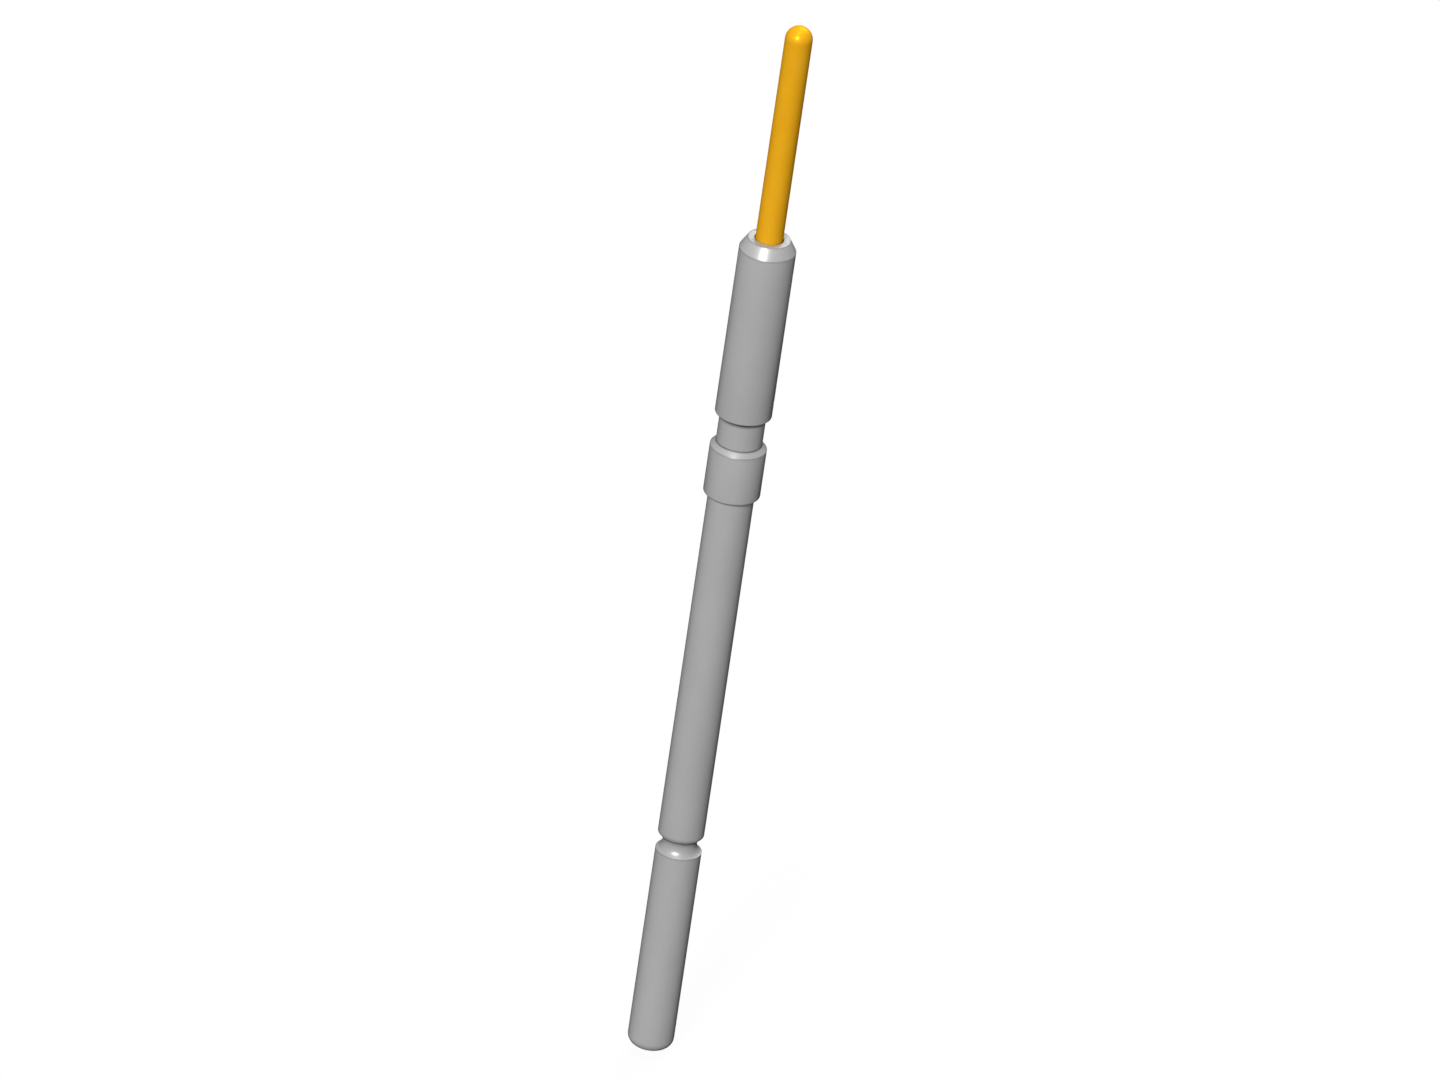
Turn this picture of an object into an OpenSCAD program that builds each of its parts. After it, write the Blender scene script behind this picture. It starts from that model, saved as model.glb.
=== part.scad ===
// Pogo pin: a turned barrel with a press-in collar, a sprung plunger and its helical spring.
// Millimetres. +Z runs up the pin to the contact tip. Z = 0 is the collar's lower shoulder.

/* [Upper body] */
// Diameter of the wide upper body
body_d = 1.67; // [1.55:0.01:1.9]
// Length of the upper body, with the cones at its ends
body_l = 5.86; // [4:0.02:8]
// Height of the cone where the rim is crimped inward
rim_h = 0.35; // [0.2:0.01:0.45]
// How far that cone draws in, across the radius
rim_in = 0.205; // [0.1:0.005:0.22]
// Height of the small cone under the upper body
foot_h = 0.11; // [0.05:0.01:0.2]

/* [Neck and collar] */
// Diameter of the neck between the upper body and the collar
neck_d = 1.36; // [1.3:0.01:1.46]
// Length of the neck
neck_l = 0.85; // [0.4:0.05:2]
// Diameter of the press-in collar
collar_d = 1.67; // [1.55:0.01:1.9]
// Length of the collar, with its cone
collar_l = 1.69; // [1:0.01:3]
// Height of the cone at the top of the collar
collar_cone_h = 0.16; // [0.08:0.01:0.25]
// Rounding of the collar's lower edge
collar_edge_r = 0.04; // [0.02:0.01:0.06]

/* [Tube, groove and tail] */
// Diameter of the lower tube and the tail
tube_d = 1.36; // [1.3:0.01:1.46]
// Length of the tube from the collar to the groove
tube_l = 11.33; // [9:0.01:14]
// Width of the groove, along the pin
groove_w = 0.55; // [0.4:0.01:0.8]
// Depth of the groove
groove_depth = 0.17; // [0.1:0.01:0.25]
// Rounding of the groove's upper lip
groove_lip_r = 0.07; // [0.03:0.01:0.1]
// Length of the tail below the groove
tail_l = 6.52; // [3:0.01:9]
// Rounding of the tail's end
end_r = 0.32; // [0.1:0.01:0.5]

/* [Bore] */
// Diameter of the bore
bore_d = 1.02; // [0.98:0.01:1.1]
// Thickness of the crimped rim above the bore
rim_t = 0.5; // [0.4:0.05:0.8]
// Solid metal between the bore's floor and the groove
floor_t = 0.53; // [0.3:0.01:1.5]

/* [Plunger] */
// Diameter of the stem and its round tip
stem_d = 0.81; // [0.72:0.01:0.84]
// Full travel of the plunger
travel = 6.35; // [4:0.05:6.5]
// How far the tip still stands out when it is pushed in all the way
tip_left = 0.6; // [0.45:0.05:1.5]
// Length of the head that runs in the bore
head_l = 4.5; // [3:0.1:5.5]
// Bevel on the head's lower edge
head_bevel = 0.06; // [0.02:0.01:0.1]
// Length of the pilot that centres the spring
pilot_l = 0.8; // [0.3:0.05:1.5]
// Bevel on the pilot's end
pilot_bevel = 0.1; // [0.05:0.01:0.15]

/* [Spring] */
// Diameter of the wire
wire_d = 0.14; // [0.1:0.01:0.15]
// Turns in all
turns = 34; // [24:1:36]
// Closed turns at each end
closed_turns = 2; // [1:1:3]
// Space between two closed turns
closed_gap = 0.01; // [0.01:0.005:0.03]

/* [Fits] */
// Radial gap between the stem and the crimped rim
stem_gap = 0.02; // [0.01:0.005:0.03]
// Radial gap between the head and the bore
head_gap = 0.015; // [0.01:0.005:0.02]
// Radial gap between the spring and the bore
spring_gap = 0.04; // [0.03:0.005:0.06]
// Radial gap between the pilot and the spring
pilot_gap = 0.04; // [0.03:0.005:0.08]
// Gap above the head and at each end of the spring, at rest
seat_gap = 0.01; // [0.01:0.005:0.03]

/* [Hidden] */

$fn = 96;
coil_steps = 12; // flat steps in one turn of the spring
wire_sides = 6; // sides of the wire
over = 0.05; // how far a cut runs past the surface it opens

body_r = body_d / 2;
neck_r = neck_d / 2;
collar_r = collar_d / 2;
tube_r = tube_d / 2;
bore_r = bore_d / 2;
stem_r = stem_d / 2;
wire_r = wire_d / 2;

// Barrel, upwards and downwards from the collar's shoulder
neck_top_z = collar_l + neck_l;
rim_z = neck_top_z + body_l;
ledge_z = rim_z - rim_t;
tail_top_z = -tube_l - groove_w;
end_z = tail_top_z - tail_l;
floor_z = -tube_l + floor_t;

// The groove is a circular arc of this radius, cut to its depth
groove_z = -tube_l - groove_w / 2;
groove_arc_r = (pow(groove_w / 2, 2) + pow(groove_depth, 2)) / (2 * groove_depth);
groove_x = tube_r - groove_depth + groove_arc_r;

// Centre of the upper lip's rounding, which touches both the tube and that arc
lip_x = tube_r - groove_lip_r;
lip_z = groove_z + sqrt(pow(groove_arc_r + groove_lip_r, 2) - pow(groove_x - lip_x, 2));

// Plunger
tip_z = rim_z + tip_left + travel;
head_r = bore_r - head_gap;
head_top_z = ledge_z - seat_gap;
head_z = head_top_z - head_l;

// Spring
coil_r = bore_r - spring_gap - wire_r;
coil_l = head_z - floor_z - 2 * seat_gap - wire_d;
closed_pitch = wire_d + closed_gap;
open_pitch = (coil_l - 2 * closed_turns * closed_pitch) / (turns - 2 * closed_turns);
pilot_r = coil_r - wire_r - pilot_gap;
rings = turns * coil_steps;

// What a rounding takes off an outer edge at [x, z] with the metal above it
module edge_waste(x, z, r) {
    difference() {
        translate([x - r, z - over])
            square([r + over, r + over]);
        translate([x - r, z + r])
            circle(r);
    }
}

// Half section of the barrel's outside, closed along the axis
module barrel_outline() {
    polygon([
        [0, end_z],
        [tube_r, end_z],
        [tube_r, 0],
        [collar_r, 0],
        [collar_r, collar_l - collar_cone_h],
        [neck_r, collar_l],
        [neck_r, neck_top_z],
        [body_r, neck_top_z + foot_h],
        [body_r, rim_z - rim_h],
        [body_r - rim_in, rim_z],
        [0, rim_z]
    ]);
}

// Half section of the bore and of the smaller opening through the crimped rim
module bore_outline() {
    polygon([
        [-over, floor_z],
        [bore_r, floor_z],
        [bore_r, ledge_z],
        [stem_r + stem_gap, ledge_z],
        [stem_r + stem_gap, rim_z + over],
        [-over, rim_z + over]
    ]);
}

// Half section of the groove, with the rounding of its upper lip
module groove_outline() {
    translate([groove_x, groove_z])
        circle(groove_arc_r);
    difference() {
        polygon([[lip_x, lip_z], [tube_r + over, lip_z], [groove_x, groove_z]]);
        translate([lip_x, lip_z])
            circle(groove_lip_r);
    }
}

module barrel() {
    color([0.63, 0.63, 0.64])
        rotate_extrude()
            difference() {
                barrel_outline();
                bore_outline();
                groove_outline();
                edge_waste(tube_r, end_z, end_r);
                edge_waste(collar_r, 0, collar_edge_r);
            }
}

// Head and pilot, from the pilot's end up
module head() {
    rotate_extrude()
        polygon([
            [0, head_z - pilot_l],
            [pilot_r - pilot_bevel, head_z - pilot_l],
            [pilot_r, head_z - pilot_l + pilot_bevel],
            [pilot_r, head_z],
            [head_r - head_bevel, head_z],
            [head_r, head_z + head_bevel],
            [head_r, head_top_z],
            [0, head_top_z]
        ]);
}

module plunger() {
    color([0.89, 0.65, 0.11]) {
        head();
        translate([0, 0, head_z])
            cylinder(r = stem_r, h = tip_z - stem_r - head_z);
        translate([0, 0, tip_z - stem_r])
            sphere(r = stem_r);
    }
}

// Height of the wire's centre above its start, after t turns
function coil_rise(t) =
    t < closed_turns ? t * closed_pitch
    : t > turns - closed_turns ? coil_l - (turns - t) * closed_pitch
    : closed_turns * closed_pitch + (t - closed_turns) * open_pitch;

// Ring i along the wire: wire_sides points round its centre
function wire_ring(i) = [
    for (k = [0 : wire_sides - 1])
        let (
            turn = 360 * i / coil_steps,
            around = 360 * k / wire_sides,
            r = coil_r + wire_r * cos(around)
        )
        [
            r * cos(turn),
            r * sin(turn),
            coil_rise(i / coil_steps) + wire_r * sin(around)
        ]
];

// Index of side k on ring i
function ring_point(i, k) = i * wire_sides + k % wire_sides;

module spring() {
    points = [for (i = [0 : rings]) each wire_ring(i)];
    walls = [
        for (i = [0 : rings - 1])
            for (k = [0 : wire_sides - 1])
                each [
                    [ring_point(i, k), ring_point(i + 1, k), ring_point(i + 1, k + 1)],
                    [ring_point(i, k), ring_point(i + 1, k + 1), ring_point(i, k + 1)]
                ]
    ];
    start_cap = [for (k = [0 : wire_sides - 1]) ring_point(0, k)];
    end_cap = [for (k = [wire_sides - 1 : -1 : 0]) ring_point(rings, k)];
    color([0.75, 0.76, 0.78])
        translate([0, 0, floor_z + seat_gap + wire_r])
            polyhedron(points, concat(walls, [start_cap, end_cap]));
}

barrel();
plunger();
spring();
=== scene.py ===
from math import asin, atan2, cos, pi, radians, sin, tau

import bmesh
import bpy
from mathutils import Matrix, Vector


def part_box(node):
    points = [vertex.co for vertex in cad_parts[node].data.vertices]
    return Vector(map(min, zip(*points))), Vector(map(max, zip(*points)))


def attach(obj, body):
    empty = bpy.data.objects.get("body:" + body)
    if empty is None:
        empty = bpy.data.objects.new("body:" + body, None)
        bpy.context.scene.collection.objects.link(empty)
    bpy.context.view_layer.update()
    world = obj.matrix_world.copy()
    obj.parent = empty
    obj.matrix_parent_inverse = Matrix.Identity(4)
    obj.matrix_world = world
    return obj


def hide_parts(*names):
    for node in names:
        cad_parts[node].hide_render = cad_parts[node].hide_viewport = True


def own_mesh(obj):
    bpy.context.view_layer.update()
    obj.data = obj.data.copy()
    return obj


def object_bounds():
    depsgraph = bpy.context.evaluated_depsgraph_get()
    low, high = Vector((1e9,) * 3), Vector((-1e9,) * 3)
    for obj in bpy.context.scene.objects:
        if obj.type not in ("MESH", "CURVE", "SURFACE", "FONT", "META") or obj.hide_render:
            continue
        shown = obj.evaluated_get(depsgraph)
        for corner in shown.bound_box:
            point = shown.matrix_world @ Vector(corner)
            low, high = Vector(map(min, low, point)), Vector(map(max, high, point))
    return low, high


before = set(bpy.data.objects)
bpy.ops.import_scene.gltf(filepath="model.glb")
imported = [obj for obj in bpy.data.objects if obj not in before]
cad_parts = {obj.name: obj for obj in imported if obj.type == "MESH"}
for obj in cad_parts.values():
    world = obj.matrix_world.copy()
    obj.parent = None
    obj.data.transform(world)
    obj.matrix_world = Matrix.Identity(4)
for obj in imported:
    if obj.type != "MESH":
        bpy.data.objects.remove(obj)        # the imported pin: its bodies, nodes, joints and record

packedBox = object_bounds()
print("frame loaded:", sorted(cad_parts))

metre = 1000      # pieces are drawn in millimetres and scaled to metres at the end


def inMillimetres(node):
    low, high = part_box(node)
    return low * metre, high * metre


def lineTo(bm, last, radius, height):
    made = bmesh.ops.extrude_vert_indiv(bm, verts=[last])["verts"][0]
    made.co = (radius, 0, height)
    return made


def arcTo(bm, last, centre, angle, steps):
    # turns the pen round a centre given as (radius, height); positive goes from +X up to +Z
    made = bmesh.ops.spin(
        bm, geom=[last], cent=(centre[0], 0, centre[1]), axis=(0, -1, 0), angle=angle, steps=steps
    )
    return next(item for item in made["geom_last"] if isinstance(item, bmesh.types.BMVert))


def roundCorner(bm, corner, amount, segments):
    bmesh.ops.bevel(
        bm, geom=[corner], offset=amount, offset_type="OFFSET", affect="VERTICES",
        segments=segments, profile=0.5, material=-1, clamp_overlap=False,
    )


def turnOnLathe(bm, sides, weld=0.0002):
    bmesh.ops.spin(
        bm, geom=bm.verts[:] + bm.edges[:], cent=(0, 0, 0), axis=(0, 0, 1),
        angle=tau, steps=sides, use_merge=True,
    )
    bmesh.ops.remove_doubles(bm, verts=bm.verts[:], dist=weld)
    bmesh.ops.recalc_face_normals(bm, faces=bm.faces[:])


def finishPiece(bm, name, node, body, material, smoothAngle=35):
    bmesh.ops.scale(bm, verts=bm.verts[:], vec=(1 / metre, 1 / metre, 1 / metre))
    mesh = bpy.data.meshes.new(name)
    bm.to_mesh(mesh)
    bm.free()
    piece = bpy.data.objects.new(name, mesh)
    bpy.context.scene.collection.objects.link(piece)
    mesh.shade_smooth()
    mesh.set_sharp_from_angle(angle=radians(smoothAngle))
    mesh.materials.append(material)
    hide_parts(node)
    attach(piece, body)
    print("made", name, len(mesh.polygons), "faces")
    return piece


def newMaterial(name, settings):
    material = bpy.data.materials.new(name)
    material.use_nodes = True
    shader = material.node_tree.nodes["Principled BSDF"]
    shader.inputs["Metallic"].default_value = settings["metallic"]
    shader.inputs["Roughness"].default_value = settings["roughness"]
    shader.inputs["Base Color"].default_value = (*settings["colour"], 1)
    shader.inputs["Specular IOR Level"].default_value = settings["gloss"]
    shader.inputs["Specular Tint"].default_value = (*settings["edgeTint"], 1)
    print("mixed", name)
    return material, material.node_tree, shader


def grain(tree, scale, detail=3.0, roughness=0.5):
    # noise in the piece's own metres; scale is how many times it repeats in a metre along x, y and z
    place = tree.nodes.new("ShaderNodeTexCoord")
    stretch = tree.nodes.new("ShaderNodeMapping")
    stretch.inputs["Scale"].default_value = scale
    noise = tree.nodes.new("ShaderNodeTexNoise")
    noise.inputs["Scale"].default_value = 1
    noise.inputs["Detail"].default_value = detail
    noise.inputs["Roughness"].default_value = roughness
    tree.links.new(place.outputs["Object"], stretch.inputs["Vector"])
    tree.links.new(stretch.outputs["Vector"], noise.inputs["Vector"])
    return noise.outputs["Fac"]


noiseReach = (0.3, 0.7)      # where nearly all of a noise pattern's values lie


def spread(tree, value, low, high):
    remap = tree.nodes.new("ShaderNodeMapRange")
    remap.inputs["From Min"].default_value = noiseReach[0]
    remap.inputs["From Max"].default_value = noiseReach[1]
    remap.inputs["To Min"].default_value = low
    remap.inputs["To Max"].default_value = high
    tree.links.new(value, remap.inputs["Value"])
    return remap.outputs["Result"]


def roughnessFrom(tree, value, spec, shift):
    # the finish's own roughness, shifted down and up by a pattern
    low, high = spec[shift]
    return spread(tree, value, spec["roughness"] + low, spec["roughness"] + high)


def combine(tree, operation, first, second, third=None):
    # one Math node; each side is a socket or a plain number
    node = tree.nodes.new("ShaderNodeMath")
    node.operation = operation
    for side, value in zip(node.inputs, (first, second, third)):
        if isinstance(value, bpy.types.NodeSocket):
            tree.links.new(value, side)
        elif value is not None:
            side.default_value = value
    return node.outputs["Value"]


def tint(tree, value, dark, light):
    # mixes two colours, each a plain colour or a socket
    mix = tree.nodes.new("ShaderNodeMix")
    mix.data_type = "RGBA"
    for name, colour in (("A", dark), ("B", light)):
        if isinstance(colour, bpy.types.NodeSocket):
            tree.links.new(colour, mix.inputs[name])
        else:
            mix.inputs[name].default_value = (*colour, 1)
    tree.links.new(value, mix.inputs["Factor"])
    return mix.outputs["Result"]


def relief(tree, shader, heights, strength, depth):
    bump = tree.nodes.new("ShaderNodeBump")
    bump.inputs["Strength"].default_value = strength
    bump.inputs["Distance"].default_value = depth
    tree.links.new(heights, bump.inputs["Height"])
    tree.links.new(bump.outputs["Normal"], shader.inputs["Normal"])


def ringsOf(tree, circles):
    # 1 on circles round the axis, fading over each one's reach; they are in millimetres
    place = tree.nodes.new("ShaderNodeTexCoord")
    across = tree.nodes.new("ShaderNodeVectorMath")
    across.operation = "MULTIPLY"
    across.inputs[1].default_value = (1, 1, 0)
    radius = tree.nodes.new("ShaderNodeVectorMath")
    radius.operation = "LENGTH"
    along = tree.nodes.new("ShaderNodeSeparateXYZ")
    section = tree.nodes.new("ShaderNodeCombineXYZ")
    tree.links.new(place.outputs["Object"], across.inputs[0])
    tree.links.new(across.outputs["Vector"], radius.inputs[0])
    tree.links.new(place.outputs["Object"], along.inputs["Vector"])
    tree.links.new(radius.outputs["Value"], section.inputs["X"])
    tree.links.new(along.outputs["Z"], section.inputs["Z"])
    total = None
    for ringRadius, height, reach in circles:
        distance = tree.nodes.new("ShaderNodeVectorMath")
        distance.operation = "DISTANCE"
        distance.inputs[1].default_value = (ringRadius / metre, 0, height / metre)
        fade = tree.nodes.new("ShaderNodeMapRange")
        fade.interpolation_type = "SMOOTHSTEP"
        fade.inputs["From Min"].default_value = 0
        fade.inputs["From Max"].default_value = reach / metre
        fade.inputs["To Min"].default_value = 1
        fade.inputs["To Max"].default_value = 0
        tree.links.new(section.outputs["Vector"], distance.inputs[0])
        tree.links.new(distance.outputs["Value"], fade.inputs["Value"])
        shade = fade.outputs["Result"]
        total = combine(tree, "MAXIMUM", total, shade) if total else shade
    return total


nickelPlate = {
    "colour": (0.40, 0.40, 0.405),
    "cloudy": (0.385, 0.385, 0.39),
    "clear": (0.415, 0.415, 0.42),
    # near-black colour of the painted shade in the inner corners
    "paintedShadeColour": (0.09, 0.09, 0.09),
    "worn": (0.17, 0.155, 0.13),
    "metallic": 0.26,
    "roughness": 0.35,
    "markRoughness": (-0.05, 0.05),      # how far each pattern shifts the roughness
    "scuffRoughness": (-0.04, 0.06),
    "cornerRoughness": 0.3,
    "gloss": 0.0,
    "edgeTint": (0.02, 0.02, 0.02),
    "toolMarks": (300, 300, 36000),
    "cloudiness": (900, 900, 420),
    "scuffs": (2600, 2600, 700),
    "markStrength": 0.1,
    "markDepth": 0.0000008,
    # radius, height and reach of the inner corners darkened with painted shade
    "corners": (
        (0.68, 2.54, 0.11),              # under the upper body
        (0.76, 2.6, 0.1),
        (0.68, 1.69, 0.05),              # above the collar
        (0.68, 0, 0.07),                 # below the collar
        (0.425, 8.4, 0.03),              # round the stem
    ),
    # the same for the turned edges where the plating is thin
    "edges": (
        (0.63, 8.4, 0.045),              # rim
        (0.835, 8.05, 0.045),            # upper body, top and foot
        (0.835, 2.65, 0.04),
        (0.835, 1.53, 0.045),            # collar, top and foot
        (0.835, 0.02, 0.05),
        (0.68, -11.28, 0.05),            # both lips of the groove
        (0.68, -11.88, 0.045),
    ),
    # how strongly the painted shade darkens the inner corners
    "cornerShade": 0.9,
    "edgeWear": 0.6,
    "leastWearAndShade": 0.6,                    # share of the edge wear and of the painted corner shade left where it is patchiest
}


def makeNickel(spec=nickelPlate):
    material, tree, shader = newMaterial("satinNickelPlate", spec)
    marks = grain(tree, spec["toolMarks"], detail=4)
    clouds = grain(tree, spec["cloudiness"])
    scuffs = grain(tree, spec["scuffs"], detail=5, roughness=0.65)
    plated = tint(tree, spread(tree, clouds, 0, 1), spec["cloudy"], spec["clear"])
    patchy = spread(tree, scuffs, spec["leastWearAndShade"], 1)
    wear = combine(tree, "MULTIPLY", ringsOf(tree, spec["edges"]), patchy)
    # painted shade: a mask that darkens the inner corners, patchily
    paintedShade = combine(tree, "MULTIPLY", ringsOf(tree, spec["corners"]), patchy)
    plated = tint(tree, combine(tree, "MULTIPLY", wear, spec["edgeWear"]), plated, spec["worn"])
    colour = tint(tree, combine(tree, "MULTIPLY", paintedShade, spec["cornerShade"]), plated, spec["paintedShadeColour"])
    tree.links.new(colour, shader.inputs["Base Color"])
    turned = roughnessFrom(tree, marks, spec, "markRoughness")
    rough = combine(tree, "ADD", turned, spread(tree, scuffs, *spec["scuffRoughness"]))
    # the painted shade's mask also makes the inner corners rougher
    rough = combine(tree, "MULTIPLY_ADD", paintedShade, spec["cornerRoughness"], rough)
    tree.links.new(rough, shader.inputs["Roughness"])
    relief(tree, shader, marks, spec["markStrength"], spec["markDepth"])
    return material


goldPlate = {
    "colour": (0.78, 0.38, 0.012),
    "deep": (0.755, 0.362, 0.010),
    "bright": (0.805, 0.40, 0.014),
    "metallic": 0.2,
    "roughness": 0.36,
    "markRoughness": (-0.03, 0.03),
    "rubRoughness": (-0.05, 0.04),
    "gloss": 0.0,
    "edgeTint": (0.30, 0.12, 0.01),
    "toolMarks": (300, 300, 42000),
    "cloudiness": (1200, 1200, 600),
    "rubMarks": (14000, 14000, 260),     # fine lengthwise streaks from running through the rim
    "markStrength": 0.05,
    "markDepth": 0.0000005,
}


def makeGold(spec=goldPlate):
    material, tree, shader = newMaterial("goldPlate", spec)
    marks = grain(tree, spec["toolMarks"])
    rubs = grain(tree, spec["rubMarks"])
    clouds = grain(tree, spec["cloudiness"])
    colour = tint(tree, spread(tree, clouds, 0, 1), spec["deep"], spec["bright"])
    tree.links.new(colour, shader.inputs["Base Color"])
    turned = roughnessFrom(tree, marks, spec, "markRoughness")
    rough = combine(tree, "ADD", turned, spread(tree, rubs, *spec["rubRoughness"]))
    tree.links.new(rough, shader.inputs["Roughness"])
    relief(tree, shader, marks, spec["markStrength"], spec["markDepth"])
    return material


springWire = {
    "colour": (0.55, 0.55, 0.57),
    "dull": (0.45, 0.45, 0.47),
    "bright": (0.62, 0.62, 0.64),
    "metallic": 1.0,
    "roughness": 0.28,
    "drawRoughness": (-0.06, 0.1),
    "gloss": 0.5,
    "edgeTint": (0.6, 0.6, 0.62),
    "drawMarks": (3000, 3000, 3000),
}


def makeSpringSteel(spec=springWire):
    material, tree, shader = newMaterial("drawnSpringSteel", spec)
    marks = grain(tree, spec["drawMarks"])
    colour = tint(tree, spread(tree, marks, 0, 1), spec["dull"], spec["bright"])
    tree.links.new(colour, shader.inputs["Base Color"])
    tree.links.new(roughnessFrom(tree, marks, spec, "drawRoughness"), shader.inputs["Roughness"])
    return material


# The barrel is one turned part. Heights count from the collar's lower shoulder, the frame's origin.
barrelShape = {
    "bodyRadius": 0.835,
    "crimpHeight": 0.35,
    "crimpIn": 0.205,
    "footHeight": 0.11,
    "neckTop": 2.54,
    "collarRadius": 0.835,
    "collarTop": 1.69,
    "collarCone": 0.16,
    "collarEdge": 0.04,
    "tubeRadius": 0.68,
    "tubeLength": 11.33,
    "grooveWidth": 0.55,
    "grooveDepth": 0.17,
    "lipRound": 0.07,
    "endRound": 0.32,
    "mouthRadius": 0.425,
    "mouthDepth": 0.5,
    "boreRadius": 0.51,
    "boreFloor": -10.8,
    "softEdge": 0.01,
    "sides": 160,
    # steps round each rounding
    "steps": {"endRound": 16, "groove": 24, "lipRound": 8, "collarEdge": 6, "softEdge": 4},
}


def makeBarrel(material, spec=barrelShape):
    low, high = inMillimetres("barrel")
    end, rim = low.z, high.z
    tube, body, collar = spec["tubeRadius"], spec["bodyRadius"], spec["collarRadius"]
    mouth, bore = spec["mouthRadius"], spec["boreRadius"]
    steps = spec["steps"]
    bm = bmesh.new()
    pen = bm.verts.new((0, 0, end))

    # rounded end, then up the tail
    endRound = spec["endRound"]
    pen = lineTo(bm, pen, tube - endRound, end)
    pen = arcTo(bm, pen, (tube - endRound, end + endRound), pi / 2, steps["endRound"])
    grooveTop = -spec["tubeLength"]
    grooveLow = grooveTop - spec["grooveWidth"]
    pen = lineTo(bm, pen, tube, grooveLow)

    # the groove's hollow arc, up to where the lip's rounding takes over
    half, depth, lip = spec["grooveWidth"] / 2, spec["grooveDepth"], spec["lipRound"]
    arcRadius = (half ** 2 + depth ** 2) / (2 * depth)
    centre = Vector((tube - depth + arcRadius, grooveTop - half))
    lipRadius = tube - lip
    lipRise = ((arcRadius + lip) ** 2 - (centre.x - lipRadius) ** 2) ** 0.5
    startAngle = asin(half / arcRadius)
    meetAngle = atan2(lipRise, centre.x - lipRadius)
    pen = arcTo(bm, pen, centre, -(startAngle + meetAngle), steps["groove"])
    pen = arcTo(bm, pen, (lipRadius, centre.y + lipRise), meetAngle, steps["lipRound"])

    # lower tube, collar, neck, upper body, crimped rim and bore, with how each corner is rounded
    rounded = []
    for radius, height, rounding in (
        (tube, 0, None),
        (collar, 0, "collarEdge"),
        (collar, spec["collarTop"] - spec["collarCone"], "softEdge"),
        (tube, spec["collarTop"], None),
        (tube, spec["neckTop"], None),
        (body, spec["neckTop"] + spec["footHeight"], "softEdge"),
        (body, rim - spec["crimpHeight"], "softEdge"),
        (body - spec["crimpIn"], rim, "softEdge"),
        (mouth, rim, "softEdge"),
        (mouth, rim - spec["mouthDepth"], None),
        (bore, rim - spec["mouthDepth"], None),
        (bore, spec["boreFloor"], None),
    ):
        pen = lineTo(bm, pen, radius, height)
        if rounding:
            rounded.append((pen, rounding))
    lineTo(bm, pen, 0, spec["boreFloor"])

    for corner, rounding in rounded:
        roundCorner(bm, corner, spec[rounding], steps[rounding])
    turnOnLathe(bm, spec["sides"])
    return finishPiece(bm, "barrelTurned", "barrel", "barrel", material)


plungerShape = {
    "stemRadius": 0.405,
    "headRadius": 0.495,
    "headLength": 4.5,
    "headBevel": 0.06,
    "pilotRadius": 0.29,
    "pilotLength": 0.8,
    "pilotBevel": 0.1,
    "tipSteps": 32,
    "sides": 128,
}


def makePlunger(material, spec=plungerShape):
    low, high = inMillimetres("plunger")
    pilot, head, stem = spec["pilotRadius"], spec["headRadius"], spec["stemRadius"]
    headFoot = low.z + spec["pilotLength"]
    headTop = headFoot + spec["headLength"]
    tipCentre = high.z - stem
    bm = bmesh.new()
    pen = bm.verts.new((0, 0, low.z))
    for radius, height in (
        (pilot - spec["pilotBevel"], low.z),
        (pilot, low.z + spec["pilotBevel"]),
        (pilot, headFoot),
        (head - spec["headBevel"], headFoot),
        (head, headFoot + spec["headBevel"]),
        (head, headTop),
        (stem, headTop),
        (stem, tipCentre),
    ):
        pen = lineTo(bm, pen, radius, height)
    arcTo(bm, pen, (0, tipCentre), pi / 2, spec["tipSteps"])
    turnOnLathe(bm, spec["sides"])
    return finishPiece(bm, "plungerTurned", "plunger", "plunger", material)


springShape = {
    "wireRadius": 0.07,
    "coilRadius": 0.4,
    "turns": 34,
    "closedTurns": 2,
    "closedPitch": 0.15,
    "wireSides": 10,
    "stepsPerTurn": 32,
}


def makeSpring(material, spec=springShape):
    low, high = inMillimetres("spring")
    start = low.z + spec["wireRadius"]
    length = high.z - low.z - 2 * spec["wireRadius"]
    closed = spec["closedTurns"]
    free = spec["turns"] - 2 * closed
    openPitch = (length - 2 * closed * spec["closedPitch"]) / free
    bm = bmesh.new()
    ring = bmesh.ops.create_circle(
        bm, cap_ends=True, segments=spec["wireSides"], radius=spec["wireRadius"],
        matrix=Matrix.Translation((spec["coilRadius"], 0, start)) @ Matrix.Rotation(pi / 2, 4, "X"),
    )["verts"]
    live = list({face for vert in ring for face in vert.link_faces})
    closedEnd = (closed, spec["closedPitch"])
    for count, pitch in (closedEnd, (free, openPitch), closedEnd):
        made = bmesh.ops.spin(
            bm, geom=live, cent=(0, 0, 0), axis=(0, 0, 1), angle=tau * count,
            dvec=(0, 0, pitch / spec["stepsPerTurn"]), steps=count * spec["stepsPerTurn"],
        )
        live = [item for item in made["geom_last"] if isinstance(item, bmesh.types.BMFace)]
    bmesh.ops.recalc_face_normals(bm, faces=bm.faces[:])
    piece = finishPiece(bm, "springCoil", "spring", "barrel", material)
    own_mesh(piece)
    return piece


studioLook = {
    "floorGap": 0.0002,
    "floorSize": 6.0,
    "floorColour": (0.04, 0.04, 0.04),
    "floorGlow": 0.95,
    "skyLight": 0.02,
    # height above the horizon, turn to the right and softness are in degrees
    "lamps": {
        "topLamp": {"power": 1.2, "height": 88, "turn": -20, "softness": 30},
        "frontLamp": {"power": 3.5, "height": 34.5, "turn": -16, "softness": 14},
        "backLamp": {"power": 2.0, "height": 38, "turn": 160, "softness": 40},
    },
}


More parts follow.
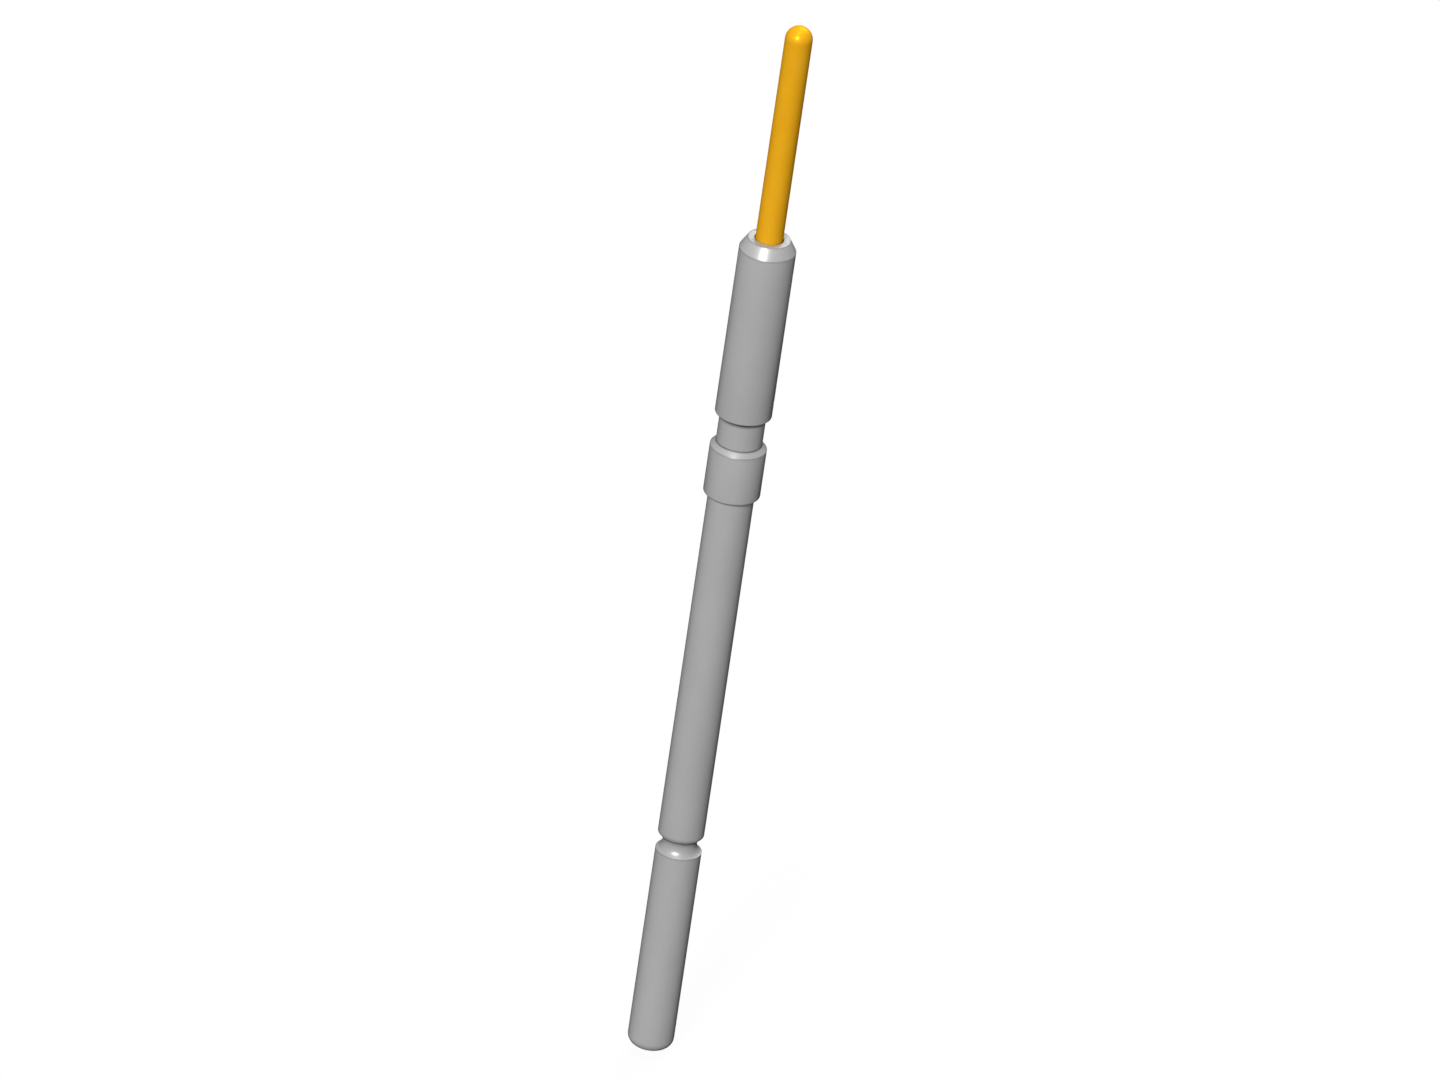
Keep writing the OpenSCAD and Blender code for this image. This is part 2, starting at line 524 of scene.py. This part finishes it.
def seenDirectly(tree):
    # 1 for what the camera, a reflection or a clear material sees, 0 for what only lights the scene
    path = tree.nodes.new("ShaderNodeLightPath")
    total = path.outputs["Is Camera Ray"]
    for name in ("Is Glossy Ray", "Is Transmission Ray"):
        total = combine(tree, "MAXIMUM", total, path.outputs[name])
    return total


def makeFloor(spec=studioLook):
    bm = bmesh.new()
    bmesh.ops.create_grid(bm, x_segments=1, y_segments=1, size=spec["floorSize"] / 2)
    bmesh.ops.translate(bm, verts=bm.verts[:], vec=(0, 0, packedBox[0].z - spec["floorGap"]))
    mesh = bpy.data.meshes.new("studioFloor")
    bm.to_mesh(mesh)
    bm.free()
    floor = bpy.data.objects.new("studioFloor", mesh)
    bpy.context.scene.collection.objects.link(floor)
    material = bpy.data.materials.new("paleFloor")
    material.use_nodes = True
    tree = material.node_tree
    shader = tree.nodes["Principled BSDF"]
    shader.inputs["Base Color"].default_value = (*spec["floorColour"], 1)
    shader.inputs["Roughness"].default_value = 1
    shader.inputs["Specular IOR Level"].default_value = 0
    shader.inputs["Emission Color"].default_value = (1, 1, 1, 1)
    glow = combine(tree, "MULTIPLY", seenDirectly(tree), spec["floorGlow"])
    tree.links.new(glow, shader.inputs["Emission Strength"])
    mesh.materials.append(material)
    print("made the floor")


def makeWorld(spec=studioLook):
    world = bpy.data.worlds.new("paleRoom")
    world.use_nodes = True
    bpy.context.scene.world = world
    tree = world.node_tree
    background = tree.nodes["Background"]
    background.inputs["Color"].default_value = (1, 1, 1, 1)
    mix = tree.nodes.new("ShaderNodeMapRange")
    mix.inputs["To Min"].default_value = spec["skyLight"]
    mix.inputs["To Max"].default_value = 1
    tree.links.new(seenDirectly(tree), mix.inputs["Value"])
    tree.links.new(mix.outputs["Result"], background.inputs["Strength"])


def makeLamps(spec=studioLook):
    for name, setting in spec["lamps"].items():
        lamp = bpy.data.lights.new(name, "SUN")
        lamp.energy = setting["power"]
        lamp.angle = radians(setting["softness"])
        up, side = radians(setting["height"]), radians(setting["turn"])
        towards = Vector((sin(side) * cos(up), -cos(side) * cos(up), sin(up)))
        holder = bpy.data.objects.new(name, lamp)
        holder.rotation_euler = towards.to_track_quat("Z", "Y").to_euler()
        bpy.context.scene.collection.objects.link(holder)
    print("lit the studio")


cameraSetup = {
    "lens": 1200,                # millimetres, as is the sensor
    "sensor": 36,
    "elevation": 28.2,           # degrees, as is the lean
    "lean": 8.45,
    "pictureWidth": 0.041687,    # metres across the picture at the pin
    "aimAcross": -0.000137,
    "aimUp": -0.000057,
}


def makeCamera(spec=cameraSetup):
    data = bpy.data.cameras.new("productCamera")
    data.lens = spec["lens"]
    data.sensor_width = spec["sensor"]
    camera = bpy.data.objects.new("productCamera", data)
    bpy.context.scene.collection.objects.link(camera)
    up, lean = radians(spec["elevation"]), radians(spec["lean"])
    back = Vector((0, -cos(up), sin(up)))
    turn = back.to_track_quat("Z", "Y").to_matrix() @ Matrix.Rotation(lean, 3, "Z")
    distance = spec["pictureWidth"] * data.lens / data.sensor_width
    aim = (packedBox[0] + packedBox[1]) / 2
    aim = aim + turn.col[0] * spec["aimAcross"] + turn.col[1] * spec["aimUp"]
    camera.matrix_world = Matrix.Translation(aim + back * distance) @ turn.to_4x4()
    data.clip_start = distance / 10
    data.clip_end = distance * 10
    bpy.context.scene.camera = camera
    print("camera", round(distance, 3), "m away")


makeBarrel(makeNickel())
makePlunger(makeGold())
makeSpring(makeSpringSteel())
makeFloor()
makeWorld()
makeLamps()
makeCamera()
bpy.context.scene.view_settings.view_transform = "Standard"
